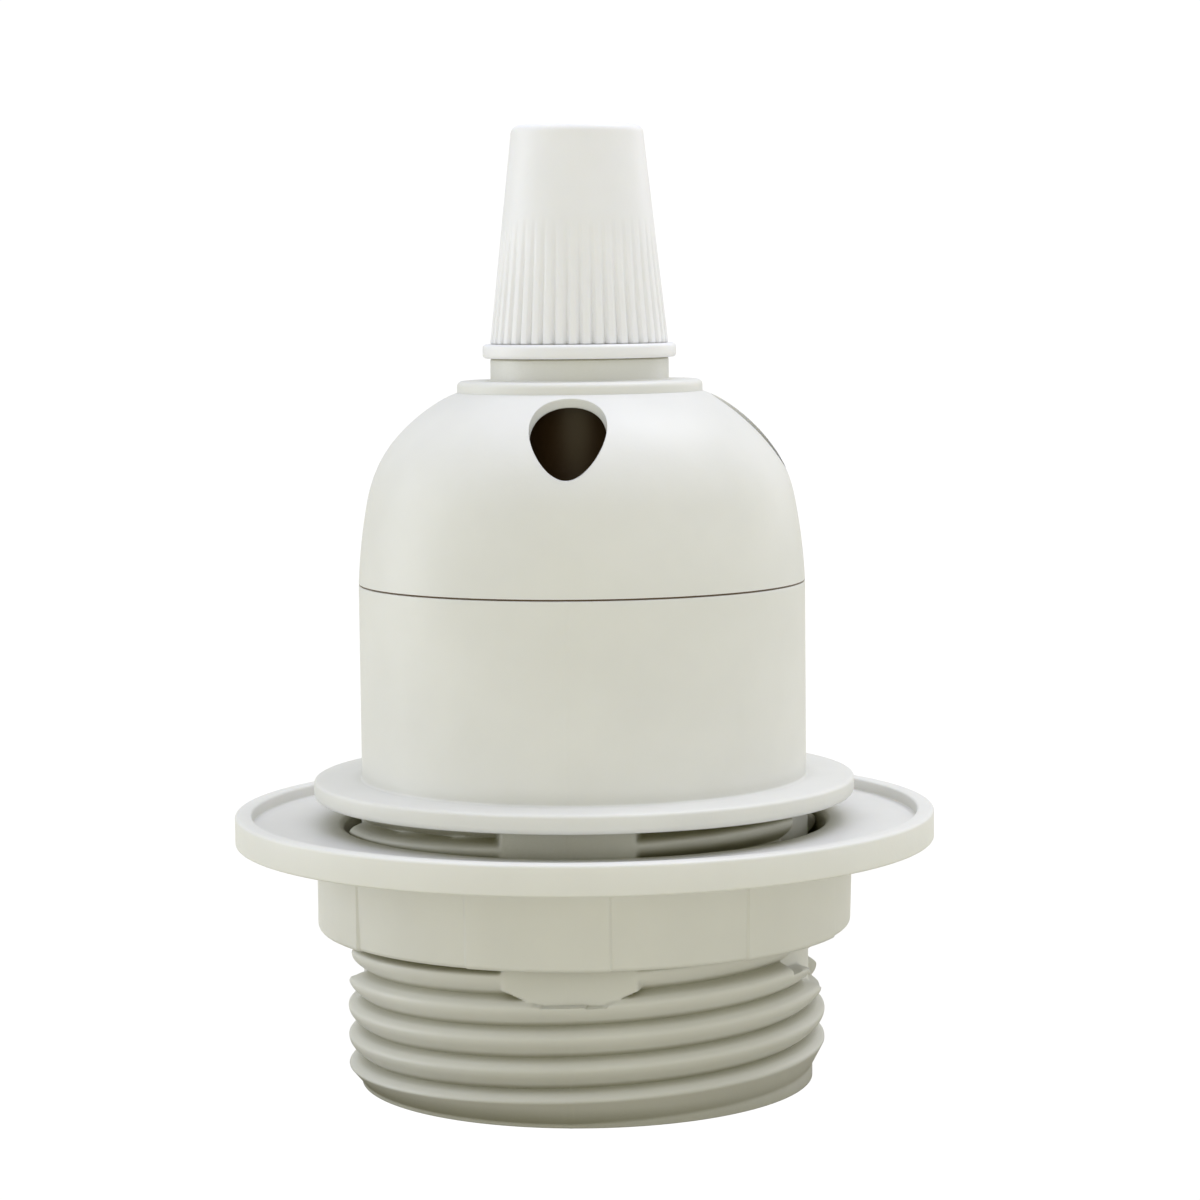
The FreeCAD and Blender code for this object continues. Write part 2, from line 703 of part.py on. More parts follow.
def rivet(name, foot, head, x, y="0"):
    """Solid rivet between its lower seat, foot, and its upper seat, head."""
    body = new_body(name)
    revolve(body, name + "_solid", [
        ("0", foot + " - rivet_head_thickness"),
        ("rivet_head_radius", foot + " - rivet_head_thickness"),
        ("rivet_head_radius", foot),
        ("rivet_radius", foot),
        ("rivet_radius", head),
        ("rivet_head_radius", head),
        ("rivet_head_radius", head + " + rivet_head_thickness"),
        ("0", head + " + rivet_head_thickness"),
    ])
    return place(body, x, y)


def centre_contact():
    """Bent leaf of spring bronze, held at one end by its rivet, with a curled tip on the axis."""
    body = new_body("centre_contact")
    sketch = new_sketch(body, "Leaf_outline", "XZ_Plane")
    draw_loop(sketch, [
        ("contact_pivot + contact_pad_reach", "contact_base"),
        ("contact_pivot + contact_pad_reach", "contact_top"),
        ("contact_bend", "contact_top"),
        ("contact_tip_length / 2", "contact_tip + contact_sheet"),
        ("-contact_tip_length / 2", "contact_tip + contact_sheet"),
        ("-contact_tip_length / 2 - contact_curl", "contact_tip + contact_curl"),
        ("-contact_tip_length / 2 - contact_curl - contact_sheet / 2",
         "contact_tip + contact_curl - contact_sheet"),
        ("-contact_tip_length / 2", "contact_tip"),
        ("contact_tip_length / 2", "contact_tip"),
        ("contact_bend", "contact_base"),
    ])
    extrude(body, "Pad", "Leaf", sketch, "contact_width", middle=True)
    sketch = new_sketch(body, "Leaf_hole_outline", "XY_Plane", "seat_height")
    draw_circle(sketch, "contact_pivot", "0", "rivet_hole + contact_clearance / 2")
    extrude(body, "Pocket", "Leaf_hole", sketch, "seat_height - contact_base")
    return body


def terminal(name, side, rivet_at, screw_at):
    """Brass plate on the block, with a hole for its rivet and a tapped one for its screw."""
    body = new_body(name)
    inner, outer = side + "terminal_inner_end", side + "terminal_end"
    corner = side + "(terminal_end - terminal_corner)"
    sketch = new_sketch(body, name + "_outline", "XY_Plane", "block_top")
    draw_loop(sketch, [
        (inner, "-terminal_width / 2"),
        (corner, "-terminal_width / 2"),
        (outer, "-(terminal_width / 2 - terminal_corner)"),
        (outer, "terminal_width / 2 - terminal_corner"),
        (corner, "terminal_width / 2"),
        (inner, "terminal_width / 2"),
    ])
    extrude(body, "Pad", name + "_plate", sketch, "terminal_thickness")
    sketch = new_sketch(body, name + "_holes_outline", "XY_Plane", "terminal_top")
    draw_circle(sketch, rivet_at, "0", "rivet_hole")
    draw_circle(sketch, screw_at, "0", "screw_hole")
    extrude(body, "Pocket", name + "_holes", sketch, "terminal_thickness")
    return body


def clamp_plate(name, x):
    """Plate under a terminal screw's head, with an upright edge on either side of it."""
    body = new_body(name)
    half, edge = "clamp_plate_size / 2", "clamp_plate_span / 2"
    sketch = new_sketch(body, name + "_outline", "XY_Plane", "terminal_top")
    draw_box(sketch, "-" + half, "-" + edge, half, edge)
    draw_circle(sketch, "0", "0", "screw_hole")
    extrude(body, "Pad", name + "_plate", sketch, "clamp_plate_thickness")
    sketch = new_sketch(body, name + "_ears_outline", "XY_Plane", "plate_top")
    draw_box(sketch, "-" + half, edge + " - clamp_ear_thickness", half, edge)
    draw_box(sketch, "-" + half, "-" + edge, half, "clamp_ear_thickness - " + edge)
    extrude(body, "Pad", name + "_ears", sketch, "clamp_ear_height")
    return place(body, x)


def terminal_screw(name, x):
    """Cheese-headed terminal screw with a straight slot."""
    body = new_body(name)
    revolve(body, name + "_solid", [
        ("0", "screw_tip"),
        ("screw_thread_radius", "screw_tip"),
        ("screw_thread_radius", "plate_top"),
        ("screw_head_radius", "plate_top"),
        ("screw_head_radius", "screw_head_top - screw_head_bevel"),
        ("screw_head_radius - screw_head_bevel", "screw_head_top"),
        ("0", "screw_head_top"),
    ])
    sketch = new_sketch(body, name + "_slot_outline", "XY_Plane", "screw_head_top")
    draw_box(sketch, "-screw_head_radius", "-screw_slot_width / 2",
             "screw_head_radius", "screw_slot_width / 2")
    extrude(body, "Pocket", name + "_slot", sketch, "screw_slot_depth")
    return place(body, x)


parts = [
    outer_shell(),
    shade_ring(),
    dome(),
    grip_stem(),
    clamp_bush(),
    grip_cap(),
    insulator_block(),
    screw_shell(),
    rivet("centre_contact_rivet", "contact_base", "terminal_top", "contact_pivot"),
    rivet("neutral_rivet", "tab_base", "terminal_top", "-tab_rivet_offset"),
    rivet("shell_rivet_front", "tab_base", "block_top", "0", "-tab_rivet_offset"),
    rivet("shell_rivet_rear", "tab_base", "block_top", "0", "tab_rivet_offset"),
    centre_contact(),
    terminal("live_terminal", "", "contact_pivot", "live_screw_offset"),
    terminal("neutral_terminal", "-", "-tab_rivet_offset", "-neutral_screw_offset"),
    clamp_plate("live_clamp_plate", "live_screw_offset"),
    clamp_plate("neutral_clamp_plate", "-neutral_screw_offset"),
    terminal_screw("live_terminal_screw", "live_screw_offset"),
    terminal_screw("neutral_terminal_screw", "-neutral_screw_offset"),
]
doc.recompute()

for item in doc.Objects:
    if "Invalid" in item.State or "Error" in item.State:
        raise RuntimeError("%s failed: %s" % (item.Label, item.State))
os.makedirs("parts", exist_ok=True)
for piece in parts:
    shape = piece.Shape
    if shape.isNull() or not shape.isValid() or len(shape.Solids) != 1:
        raise RuntimeError("%s is not one sound solid" % piece.Label)
for piece in parts:
    piece.Shape.exportStep("parts/%s.step" % piece.Label)
    print("%s: %.1f mm3, %d faces" % (piece.Label, piece.Shape.Volume, len(piece.Shape.Faces)))
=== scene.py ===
import bpy
import json
import math
import numpy as np
from mathutils import Matrix, Vector


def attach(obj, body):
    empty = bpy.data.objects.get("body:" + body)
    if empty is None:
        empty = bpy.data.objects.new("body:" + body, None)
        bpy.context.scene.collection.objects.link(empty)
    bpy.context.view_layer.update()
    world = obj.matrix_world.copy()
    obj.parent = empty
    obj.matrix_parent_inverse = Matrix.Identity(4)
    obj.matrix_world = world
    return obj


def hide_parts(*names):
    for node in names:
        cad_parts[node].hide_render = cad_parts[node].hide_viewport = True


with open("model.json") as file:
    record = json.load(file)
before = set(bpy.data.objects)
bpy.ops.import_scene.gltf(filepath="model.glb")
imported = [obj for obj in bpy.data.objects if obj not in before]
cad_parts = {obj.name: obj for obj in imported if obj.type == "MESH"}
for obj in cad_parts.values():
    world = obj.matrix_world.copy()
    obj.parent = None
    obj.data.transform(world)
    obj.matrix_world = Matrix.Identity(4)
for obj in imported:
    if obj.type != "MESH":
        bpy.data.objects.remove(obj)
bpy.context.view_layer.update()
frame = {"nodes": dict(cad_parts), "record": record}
nodes = frame["nodes"]
scene = bpy.context.scene
scene.view_settings.view_transform = "Standard"

# Outer shell
# The barrel is one moulding of satin white thermoplastic, with a skirt, the 40 mm thread and a
# thin flange outside, and ribs and a key inside that seat the insulating block. Sizes are in mm
# and degrees, and azimuths run from the front towards +X.
MM = 0.001
SKIRT_RADIUS, SKIRT_TOP, SKIRT_ROUNDING = 18.92, 1.7, 0.3
MOUTH_RADIUS, MOUTH_TOP = 14.4, 1.8
THREAD_BED, THREAD_END = 18.6, 23.4
FLANGE_RADIUS, FLANGE_BASE, FLANGE_TOP = 22.5, 23.85, 25.45
BARREL_RADIUS, RIM_HEIGHT = 18.52, 41.6
BORE_RADIUS, SEAT_RADIUS, SEAT_TOP, KEY_REACH = 16.95, 15.35, 28.5, 2.0
RIB_HALF_ANGLE, KEY_HALF_ANGLE = 2.9, 4.3
OUTSIDE_FROM, FLANGE_FROM = 18.3, 19.5
THREAD_PITCH, THREAD_ROOT, THREAD_CREST, CREST_SHARE = 2.5, 18.62, 19.97, 0.66
THREAD_LEAN, THREAD_GROOVE, THREAD_START, THREAD_RUN_IN = 0.3, 5.65, -130, 14
BEAD_ROUNDING, BEAD_FULLNESS, BEAD_SIDE, BEAD_PEAK = 0.03, 0.425, 0.21, 1.013
LOWEST_BEAD, LOWEST_CREST, TAPER_FOOT, TAPER_REACH, TAPER_DEPTH = -2, 2.3, 0.3, (1.2, 2.0), 0.78
LEFT_STRIP, RIGHT_STRIP, STRIP_END, STRIP_EDGE = 72, 61.5, 104.5, 0.7
STRIP_FOOT, STRIP_RISE, STRIP_BEND, STRIP_BEND_SPAN, STRIP_FOOT_EDGE = 7.4, 3.0, 84, 14, 0.3
FLAT_DISTANCE, FLAT_HALF_WIDTH, FLAT_FOOT_HALF_WIDTH = 19.3, 5.3, 2.75
FLAT_FOOT, FLAT_RISE, FLAT_SLOPE, FLAT_ARC = 9.85, 1.15, 2.2, 20
SEAM_HEIGHT, SEAM_HALF_WIDTH = 0.05, 0.07
FINE_ROW, COARSE_ROW, COARSE_FROM, COARSE_TO, ROUNDING_STEPS = 0.125, 0.3, 15.1, 20.4, 5
SLIDE_FOOT, SLIDE_RUN_OUT, SLIDE_RETURN = 0.4, 2.0, 4


def plastic_skin_group():
    """The skin of moulded plastic: a slow drift of colour, painted shade in hollows and on inside faces,
    and a fine grain.
    """
    group = bpy.data.node_groups.new("plastic_skin", "ShaderNodeTree")
    for name, kind in (("Colour", "Color"), ("Painted shade colour", "Color"), ("Painted shade reach", "Float")):
        group.interface.new_socket(name, in_out="INPUT", socket_type="NodeSocket" + kind)
    for name, kind in (("Colour", "Color"), ("Normal", "Vector")):
        group.interface.new_socket(name, in_out="OUTPUT", socket_type="NodeSocket" + kind)
    add, link = group.nodes.new, group.links.new
    given, result = add("NodeGroupInput"), add("NodeGroupOutput")
    place = add("ShaderNodeTexCoord")

    drift = add("ShaderNodeTexNoise")
    drift.inputs["Scale"].default_value = 140
    drift.inputs["Detail"].default_value = 3
    link(place.outputs["Object"], drift.inputs["Vector"])
    shade = add("ShaderNodeMapRange")
    shade.inputs["From Min"].default_value = 0.3
    shade.inputs["From Max"].default_value = 0.7
    shade.inputs["To Min"].default_value = 0.975
    shade.inputs["To Max"].default_value = 1.02
    link(drift.outputs["Fac"], shade.inputs["Value"])

    # Painted shade: an occlusion test darkens and warms the colour in hollows, creases and corners
    # towards the given shade colour, within the given reach.
    painted_shade = add("ShaderNodeAmbientOcclusion")
    painted_shade.samples = 8
    link(given.outputs["Painted shade reach"], painted_shade.inputs["Distance"])
    depth = add("ShaderNodeMapRange")
    depth.inputs["From Min"].default_value = 0.12
    depth.inputs["From Max"].default_value = 0.62
    depth.inputs["To Min"].default_value = 1.0
    depth.inputs["To Max"].default_value = 0.0
    link(painted_shade.outputs["AO"], depth.inputs["Value"])
    painted_shade_tint = add("ShaderNodeMix")
    painted_shade_tint.data_type = "RGBA"
    link(depth.outputs["Result"], painted_shade_tint.inputs["Factor"])
    link(given.outputs["Colour"], painted_shade_tint.inputs["A"])
    link(given.outputs["Painted shade colour"], painted_shade_tint.inputs["B"])
    # Painted shade: faces marked as inside take a near-black brown in place of the shade that fills the
    # dome.
    painted_inside_mask = add("ShaderNodeAttribute")
    painted_inside_mask.attribute_name = "painted_dark_inside"
    painted_inside_shade = add("ShaderNodeMix")
    painted_inside_shade.data_type = "RGBA"
    link(painted_inside_mask.outputs["Fac"], painted_inside_shade.inputs["Factor"])
    link(painted_shade_tint.outputs["Result"], painted_inside_shade.inputs["A"])
    painted_inside_shade.inputs["B"].default_value = (0.09, 0.05, 0.022, 1)
    colour = add("ShaderNodeVectorMath")
    colour.operation = "SCALE"
    link(painted_inside_shade.outputs["Result"], colour.inputs[0])
    link(shade.outputs["Result"], colour.inputs["Scale"])
    link(colour.outputs["Vector"], result.inputs["Colour"])

    grain = add("ShaderNodeTexNoise")
    grain.inputs["Scale"].default_value = 2600
    grain.inputs["Detail"].default_value = 4
    link(place.outputs["Object"], grain.inputs["Vector"])
    edge = add("ShaderNodeBevel")
    edge.samples = 6
    edge.inputs["Radius"].default_value = 0.00012
    bump = add("ShaderNodeBump")
    bump.inputs["Strength"].default_value = 0.12
    bump.inputs["Distance"].default_value = 0.00006
    link(grain.outputs["Fac"], bump.inputs["Height"])
    link(edge.outputs["Normal"], bump.inputs["Normal"])
    link(bump.outputs["Normal"], result.inputs["Normal"])
    return group


plastic_skin = plastic_skin_group()


def plastic(name, colour, painted_shade, roughness=0.42, reach=0.003):
    """Satin thermoplastic that lets a little light in under its skin."""
    material = bpy.data.materials.new(name)
    material.use_nodes = True
    tree = material.node_tree
    surface = tree.nodes["Principled BSDF"]
    surface.inputs["Roughness"].default_value = roughness
    surface.inputs["IOR"].default_value = 1.46
    surface.inputs["Subsurface Weight"].default_value = 0.12
    surface.inputs["Subsurface Radius"].default_value = (1.0, 0.85, 0.6)
    surface.inputs["Subsurface Scale"].default_value = 0.0012
    # The third colour is painted shade for the hollows, not a colour of the plastic.
    skin = tree.nodes.new("ShaderNodeGroup")
    skin.node_tree = plastic_skin
    skin.inputs["Colour"].default_value = (*colour, 1)
    skin.inputs["Painted shade colour"].default_value = (*painted_shade, 1)
    skin.inputs["Painted shade reach"].default_value = reach
    tree.links.new(skin.outputs["Colour"], surface.inputs["Base Color"])
    tree.links.new(skin.outputs["Normal"], surface.inputs["Normal"])
    return material


def rounded(corners):
    """Corners are (r, z, rounding). Returns the outline as an array of (r, z)."""
    outline = []
    for k, (x, y, rounding) in enumerate(corners):
        here = np.array((x, y))
        if rounding == 0:
            outline.append(here)
            continue
        before = np.array(corners[k - 1][:2]) - here
        after = np.array(corners[(k + 1) % len(corners)][:2]) - here
        before, after = before / np.linalg.norm(before), after / np.linalg.norm(after)
        half = math.acos(np.clip(before @ after, -1, 1)) / 2
        reach = rounding / math.tan(half)
        inwards = (before + after) / np.linalg.norm(before + after)
        centre = here + inwards * rounding / math.sin(half)
        first, last = here + before * reach - centre, here + after * reach - centre
        sweep = math.pi - 2 * half
        side = np.sign(first[0] * last[1] - first[1] * last[0])
        for step in range(ROUNDING_STEPS + 1):
            angle = side * sweep * step / ROUNDING_STEPS
            cosine, sine = math.cos(angle), math.sin(angle)
            outline.append(centre + np.array(((cosine, -sine), (sine, cosine))) @ first)
    return np.array(outline)


def between(start, end, step):
    """Points in a straight run from start to end, with both ends."""
    count = max(1, round(math.dist(start, end) / step))
    share = np.linspace(0, 1, count + 1)[:, None]
    return np.array(start) * (1 - share) + np.array(end) * share


def turned_mesh(name, outline, angles, shape=None, sharp=30, slide=None):
    """
    Turns a closed outline of (r, z) about the upright axis. Angles are a count, or the
    columns' own azimuths. slide(azimuth, r, z) gives how far each point of a row moves up, and
    shape(azimuth, r, z) gives its radius.
    """
    if isinstance(angles, int):
        angles = np.arange(angles) * 360.0 / angles
    azimuth, r = np.meshgrid(np.asarray(angles, float), outline[:, 0])
    z = np.repeat(outline[:, 1][:, None], len(angles), axis=1)
    if slide is not None:
        z = z + slide(azimuth, r, z)
    if shape is not None:
        r = shape(azimuth, r, z)
    a = np.radians(azimuth)
    points = np.stack((r * np.sin(a), -r * np.cos(a), z), axis=-1).reshape(-1, 3) * MM
    rows, columns = z.shape
    row, column = np.meshgrid(np.arange(rows), np.arange(columns), indexing="ij")
    right, up = (column + 1) % columns, (row + 1) % rows
    faces = np.stack((row * columns + column, row * columns + right,
                      up * columns + right, up * columns + column), axis=-1).reshape(-1, 4)
    area = 0.5 * np.sum(outline[:, 0] * np.roll(outline[:, 1], -1)
                        - np.roll(outline[:, 0], -1) * outline[:, 1])
    if area < 0:
        faces = faces[:, ::-1]
    mesh = bpy.data.meshes.new(name)
    mesh.from_pydata(points.tolist(), [], faces.tolist())
    mesh.shade_smooth()
    mesh.set_sharp_from_angle(angle=math.radians(sharp))
    obj = bpy.data.objects.new(name, mesh)
    scene.collection.objects.link(obj)
    return obj


def dress(obj, body, material, node):
    """Gives a piece its material and body, and hides the CAD node that it stands for."""
    obj.data.materials.clear()
    obj.data.materials.append(material)
    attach(obj, body)
    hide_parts(node)


def dress_nodes(slot, material):
    """Gives every CAD node of one slot its material."""
    for part in frame["record"]["subparts"]:
        if part["material_slot"] == slot:
            node = nodes[part["node"]]
            node.data.materials.clear()
            node.data.materials.append(material)


def around(azimuth, facing=0):
    """The azimuth from one side, between -180 and 180 degrees."""
    return (azimuth - facing + 180) % 360 - 180


def plain_strips(turn, z):
    """One where the thread is left out at either side, and zero elsewhere."""
    first_end = np.where(turn < 0, LEFT_STRIP, RIGHT_STRIP)
    past_end = np.minimum(np.abs(turn) - first_end, STRIP_END - np.abs(turn)) / STRIP_EDGE + 0.5
    lowest = STRIP_FOOT + STRIP_RISE * np.clip((STRIP_BEND - np.abs(turn)) / STRIP_BEND_SPAN, 0, 1)
    return np.clip(past_end, 0, 1) * np.clip((z - lowest) / STRIP_FOOT_EDGE, 0, 1)


def thread_radius(azimuth, z):
    """A rounded bead for each turn, its crest above its middle. The lowest runs into the skirt."""
    turn = around(azimuth)
    lean = THREAD_LEAN * np.sin(np.radians(azimuth))
    along = (z - THREAD_GROOVE - lean - THREAD_PITCH * turn / 360) / THREAD_PITCH
    number = np.maximum(np.floor(along), LOWEST_BEAD)
    run = turn + 360 * (number - LOWEST_BEAD)
    height = np.clip((run - THREAD_START) / THREAD_RUN_IN, 0, 1) * (1 - plain_strips(turn, z))
    above_crest = along - number - CREST_SHARE
    offset = np.where(above_crest > 0, above_crest / (1 - CREST_SHARE), -above_crest / CREST_SHARE)
    arch = 1 - np.minimum(offset, 1) ** 2
    bead = ((arch ** 2 + BEAD_ROUNDING) ** BEAD_FULLNESS - BEAD_SIDE * (1 - arch)) / BEAD_PEAK
    crest = LOWEST_CREST + lean + THREAD_PITCH * turn / 360
    taper = np.clip((crest - z) / np.clip(crest - TAPER_FOOT, *TAPER_REACH), 0, 1)
    bead = np.where((number == LOWEST_BEAD) & (z < crest), 1 - TAPER_DEPTH * taper, bead)
    return THREAD_ROOT + (THREAD_CREST - THREAD_ROOT) * bead * height


def with_flat(made, threaded, azimuth, z, facing):
    """Cuts a flat through the thread on one side. Its edges slope down to the thread's root."""
    away = np.radians(around(azimuth, facing))
    ahead = (np.cos(away) > 0.5) & threaded
    widening = np.clip((z - FLAT_FOOT) / FLAT_RISE, 0, 1)
    half_width = FLAT_FOOT_HALF_WIDTH + (FLAT_HALF_WIDTH - FLAT_FOOT_HALF_WIDTH) * widening
    beyond = np.maximum(np.abs(FLAT_ARC * np.sin(away)) - half_width, FLAT_FOOT - z)
    plane = FLAT_DISTANCE / np.maximum(np.cos(away), 0.5)
    made = np.where(ahead & (beyond <= 0), plane, made)
    return np.where(ahead & (beyond > 0), np.maximum(made, plane - FLAT_SLOPE * beyond), made)


def shell_surface(azimuth, r, z):
    """Adds the thread, flats and parting lines outside, and the ribs and key inside."""
    outside = r > OUTSIDE_FROM
    lining = (np.abs(r - BORE_RADIUS) < 0.3) & (z > MOUTH_TOP - 0.01)
    threaded = outside & (z < FLANGE_BASE - 0.05) & (r < FLANGE_FROM)
    made = np.where(threaded, np.maximum(r, thread_radius(azimuth, z)), r)
    for facing in (0, 180):
        made = with_flat(made, threaded, azimuth, z, facing)
    for facing in (0, 180):
        away = np.abs(np.radians(around(azimuth, facing))) * r
        seam = SEAM_HEIGHT * np.exp(-(away / SEAM_HALF_WIDTH) ** 2)
        made = np.where(outside, made + seam, made)
    for rib in range(0, 360, 60):
        on_rib = np.abs(around(azimuth, rib)) < RIB_HALF_ANGLE
        made = np.where(lining & (z < SEAT_TOP) & on_rib, SEAT_RADIUS, made)
    on_key = np.abs(around(azimuth, 180)) < KEY_HALF_ANGLE
    return np.where(lining & (abs(z - SEAT_TOP) < KEY_REACH) & on_key, SEAT_RADIUS, made)


def thread_slide(azimuth, r, z):
    """Lets the mesh's rows climb with the thread, so that no groove runs across them."""
    turn = around(azimuth)
    climb = THREAD_PITCH * turn / 360 + THREAD_LEAN * np.sin(np.radians(azimuth))
    climb *= np.clip((180 - np.abs(turn)) / SLIDE_RETURN, 0, 1)
    climb *= np.clip(np.minimum(z - SLIDE_FOOT, THREAD_END - z) / SLIDE_RUN_OUT, 0, 1)
    return np.where((r > OUTSIDE_FROM) & (r < FLANGE_FROM), climb, 0)


seat_edges = [z + side for z in (SEAT_TOP + KEY_REACH, SEAT_TOP, SEAT_TOP - KEY_REACH)
              for side in (0.01, -0.01)]
shell_outline = np.concatenate((
    rounded([(MOUTH_RADIUS, MOUTH_TOP, 0), (MOUTH_RADIUS, 0.0, SKIRT_ROUNDING),
             (SKIRT_RADIUS, 0.0, SKIRT_ROUNDING), (SKIRT_RADIUS, SKIRT_TOP, 0)])[:-1],
    between((SKIRT_RADIUS, SLIDE_FOOT), (SKIRT_RADIUS, SKIRT_TOP), FINE_ROW),
    between((THREAD_BED, MOUTH_TOP), (THREAD_BED, COARSE_FROM - COARSE_ROW), FINE_ROW),
    between((THREAD_BED, COARSE_FROM), (THREAD_BED, COARSE_TO), COARSE_ROW),
    between((THREAD_BED, COARSE_TO + 0.2), (THREAD_BED, THREAD_END - 0.05), FINE_ROW),
    rounded([(THREAD_BED, THREAD_END, 0), (THREAD_BED, FLANGE_BASE, 0.2),
             (FLANGE_RADIUS, FLANGE_BASE, 0.5), (FLANGE_RADIUS, FLANGE_TOP, 0.3),
             (BARREL_RADIUS, FLANGE_TOP, 0.2), (BARREL_RADIUS, 26.5, 0)])[1:-1],
    between((BARREL_RADIUS, 26.0), (BARREL_RADIUS, RIM_HEIGHT - 0.5), 1.5),
    rounded([(BARREL_RADIUS, RIM_HEIGHT - 0.4, 0), (BARREL_RADIUS, RIM_HEIGHT, 0.12),
             (BORE_RADIUS, RIM_HEIGHT, 0), (BORE_RADIUS, RIM_HEIGHT - 0.6, 0)])[1:-1],
    [(BORE_RADIUS, z) for z in (40.5, 36, 32, *seat_edges, 20, 14, 8, 3, MOUTH_TOP)],
))
across_flat = np.degrees(np.arcsin(np.linspace(-6.4, 6.4, 61) / FLAT_ARC))
column_sets = [(176.0, 178.0, 182.0, 184.0)]
for facing in (0, 90, 180, 270):
    column_sets.append(facing + across_flat[::1 if facing in (0, 180) else 3])
    column_sets.append(np.linspace(facing + 19.8, facing + 70.2, 34))
for middle, half_angle in [(rib, RIB_HALF_ANGLE) for rib in range(0, 360, 60)] + [(180, KEY_HALF_ANGLE)]:
    column_sets += [middle + side * half_angle + np.array((-0.02, 0.02)) for side in (-1, 1)]
for strip_edge in (RIGHT_STRIP, STRIP_END, 360 - STRIP_END, 360 - LEFT_STRIP):
    column_sets.append(strip_edge + np.array((-0.4, -0.15, 0.15, 0.4)))
shell_columns = np.unique(np.round(np.concatenate(column_sets) % 360, 3))
outer_shell = turned_mesh("outer_shell_surface", shell_outline, shell_columns, shell_surface,
                          sharp=65, slide=thread_slide)
MOULDED_WHITE = (0.755, 0.755, 0.735)
# The second colour is the painted shade laid into the shell's hollows and grooves.
shell_plastic = plastic("shell_plastic", MOULDED_WHITE, (0.25, 0.235, 0.125))
dress_nodes("shell_plastic", shell_plastic)
dress(outer_shell, "socket", shell_plastic, "outer_shell")


# Shade ring
# A loose white moulding that clamps a shade's carrier under the flange: a flat tray with a
# raised lip, on a hub that screws on the shell's thread. The hub's outside steps in and out
# every 30 degrees, for the fingers.
RING_BORE, RING_RADIUS, TRAY_BASE, TRAY_TOP = 20.1, 29.1, 20.22, 21.7
LIP_INSIDE, LIP_TOP = 27.7, 22.69
HUB_RADIUS, HUB_FOOT = 22.36, 13.05
STEP_ANGLE, STEP_START, STEP_DEPTH, STEP_EDGE = 30, 8.9, 0.22, 0.25


def hub_steps(azimuth, r, z):
    """Lets every second sector of the hub stand back a little."""
    sector = (azimuth - STEP_START) % (2 * STEP_ANGLE)
    edge = np.minimum(sector, STEP_ANGLE - sector)
    edge = np.where(sector > 1.5 * STEP_ANGLE, sector - 2 * STEP_ANGLE, edge)
    edge = np.clip(edge / STEP_EDGE * 0.5 + 0.5, 0, 1)
    fading = np.clip((TRAY_BASE - 0.12 - z) / 0.3, 0, 1)
    on_hub = (r > HUB_RADIUS - 0.86) & (z < TRAY_BASE - 0.02)
    return np.where(on_hub, r - STEP_DEPTH * edge * fading, r)


ring_outline = np.concatenate((
    rounded([(RING_BORE, 14.0, 0), (RING_BORE, HUB_FOOT, 0.3), (HUB_RADIUS, HUB_FOOT, 0.4),
             (HUB_RADIUS, TRAY_BASE, 0.15), (RING_RADIUS, TRAY_BASE, 0.2),
             (RING_RADIUS, LIP_TOP, 0.25), (LIP_INSIDE, LIP_TOP, 0.18),
             (LIP_INSIDE, TRAY_TOP, 0.12), (RING_BORE, TRAY_TOP, 0.5), (RING_BORE, 20.5, 0)])[1:-1],
    between((RING_BORE, 20.8), (RING_BORE, 14.0), 0.5),
))
step_columns = [STEP_START + STEP_ANGLE * k + np.array((-0.5, -0.25, 0, 0.25, 0.5)) for k in range(12)]
even_columns = np.arange(STEP_START, STEP_START + 360, 1.5)
ring_columns = np.unique(np.round(np.concatenate((even_columns, *step_columns)), 4))
shade_ring = turned_mesh("shade_ring_surface", ring_outline, ring_columns, hub_steps)
ring_plastic = plastic("ring_plastic", MOULDED_WHITE, (0.34, 0.32, 0.19))
dress_nodes("ring_plastic", ring_plastic)
dress(shade_ring, "ring", ring_plastic, "shade_ring")


# Dome
# The white cover that closes the wiring space: a smooth shoulder over a slightly conical flank,
# with a collar and a neck for the cord grip. Four upright round vents cut the shoulder, and a
# spigot goes down into the shell.
SPIGOT_RADIUS, SPIGOT_BORE, SPIGOT_FOOT = 16.65, 15.2, 31.3
FLANK_FOOT, CEILING_FOOT, SPIGOT_SHOULDER = (18.43, 43.6), (16.605, 44.455), 43.05
FLANK_CENTRE, FLANK_RADIUS, FLANK_FROM, FLANK_TO = (-28.933, 39.478), 47.5, 2.75, 11.034
SHOULDER_CENTRE, SHOULDER_RADIUS, SHOULDER_TO = (6.205, 46.33), 11.7, 70.3
CEILING_CENTRE, CEILING_RADIUS, CEILING_FROM = (6.205, 47.03), 10.4, 83.5
COLLAR_RADIUS, COLLAR_BASE, COLLAR_TOP = 10.15, 57.0, 58.3
NECK_RADIUS, NECK_BORE, NECK_TOP, BOSS_FOOT = 7.37, 5.0, 60.14, 49.24
VENT_COUNT, VENT_CIRCLE, VENT_RADIUS, DRILL_LENGTH, DRILL_HEIGHT = 4, 13.9, 3.08, 12.0, 55.2


def arc(centre, radius, first, last, steps):
    """Points on an arc of the outline, from one angle to another."""
    angles = np.radians(np.linspace(first, last, steps + 1))
    return np.stack((centre[0] + radius * np.cos(angles), centre[1] + radius * np.sin(angles)), axis=1)


